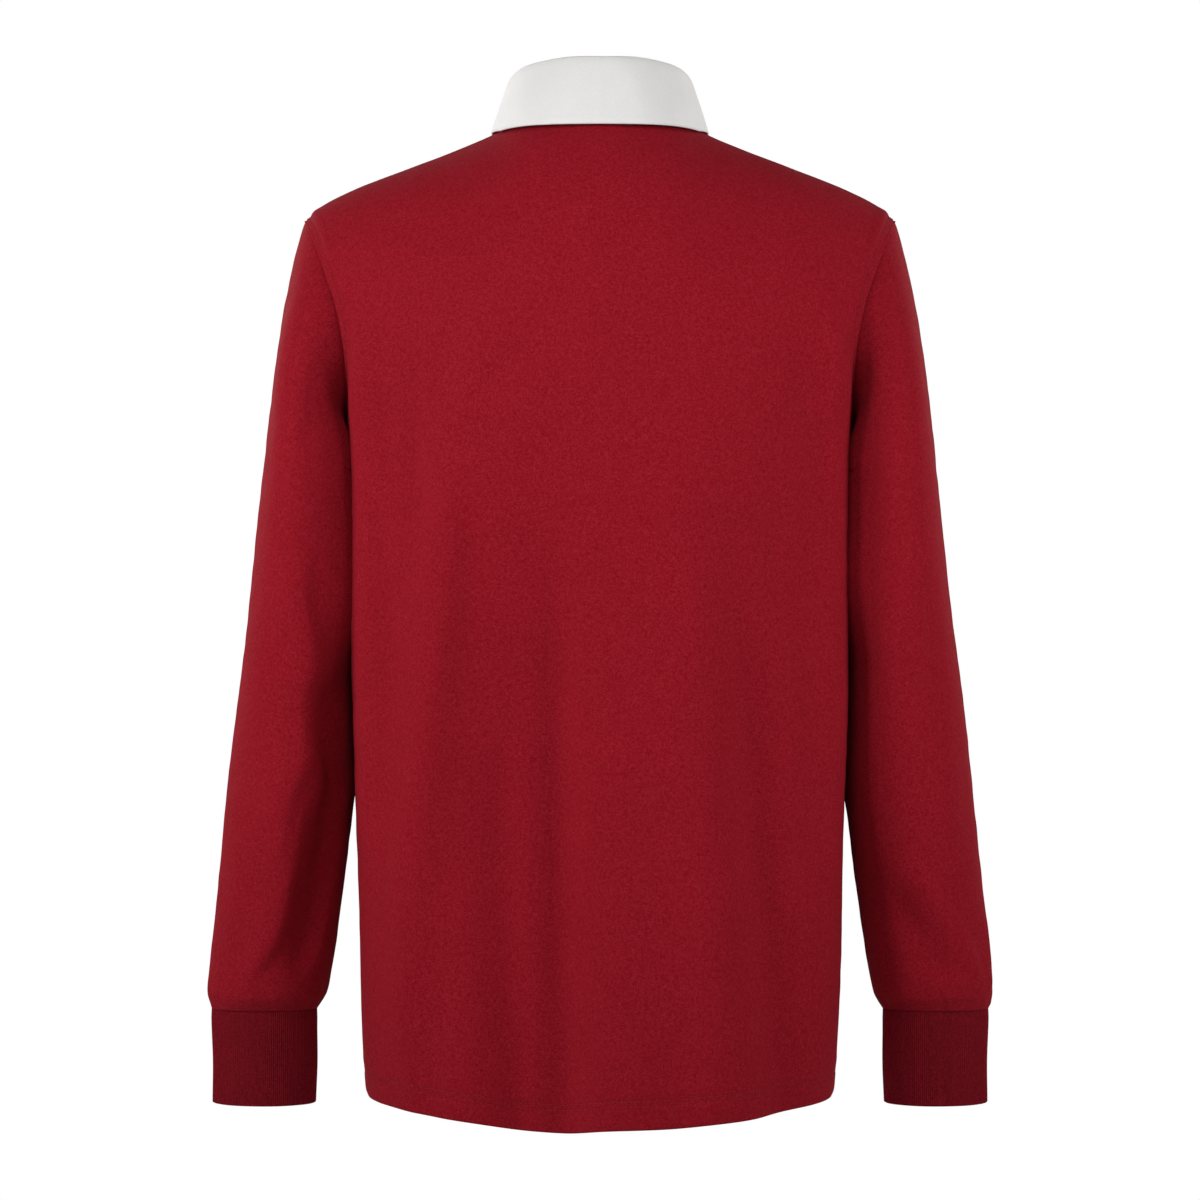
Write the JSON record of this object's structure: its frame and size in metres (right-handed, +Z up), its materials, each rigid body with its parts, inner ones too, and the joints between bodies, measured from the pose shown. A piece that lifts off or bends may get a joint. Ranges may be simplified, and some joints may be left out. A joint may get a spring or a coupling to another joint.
{
  "type": "rugby shirt",
  "caption": "Long-sleeved knitted shirt held filled out and hollow, with ribbed cuffs, a white woven collar and a short buttoned placket.",
  "frame": {"origin": "midway between the shirt's two neck points, where it hangs from its wearer", "axes": "+Z up, -Y out of the shirt's front, +Y out of its back, +X towards the wearer's left"},
  "size_m": [0.5846, 0.2488, 0.7703],
  "materials": {
    "red_knit": "heavy cotton jersey, matt, finely knitted",
    "red_rib": "fine one-by-one rib, matt, darker in its valleys",
    "white_twill": "smooth cotton twill, matt",
    "button_rubber": "off-white rubber, half matt"
  },
  "bodies": {
    "root": {"back": "red_knit", "front": "red_knit", "sleeve_left": "red_knit", "sleeve_right": "red_knit", "cuff_left": "red_rib", "cuff_right": "red_rib", "collar": "white_twill", "placket_under": "white_twill", "placket_over": "white_twill", "button_1": "button_rubber", "button_2": "button_rubber", "button_3": "button_rubber"}
  },
  "joints": []
}
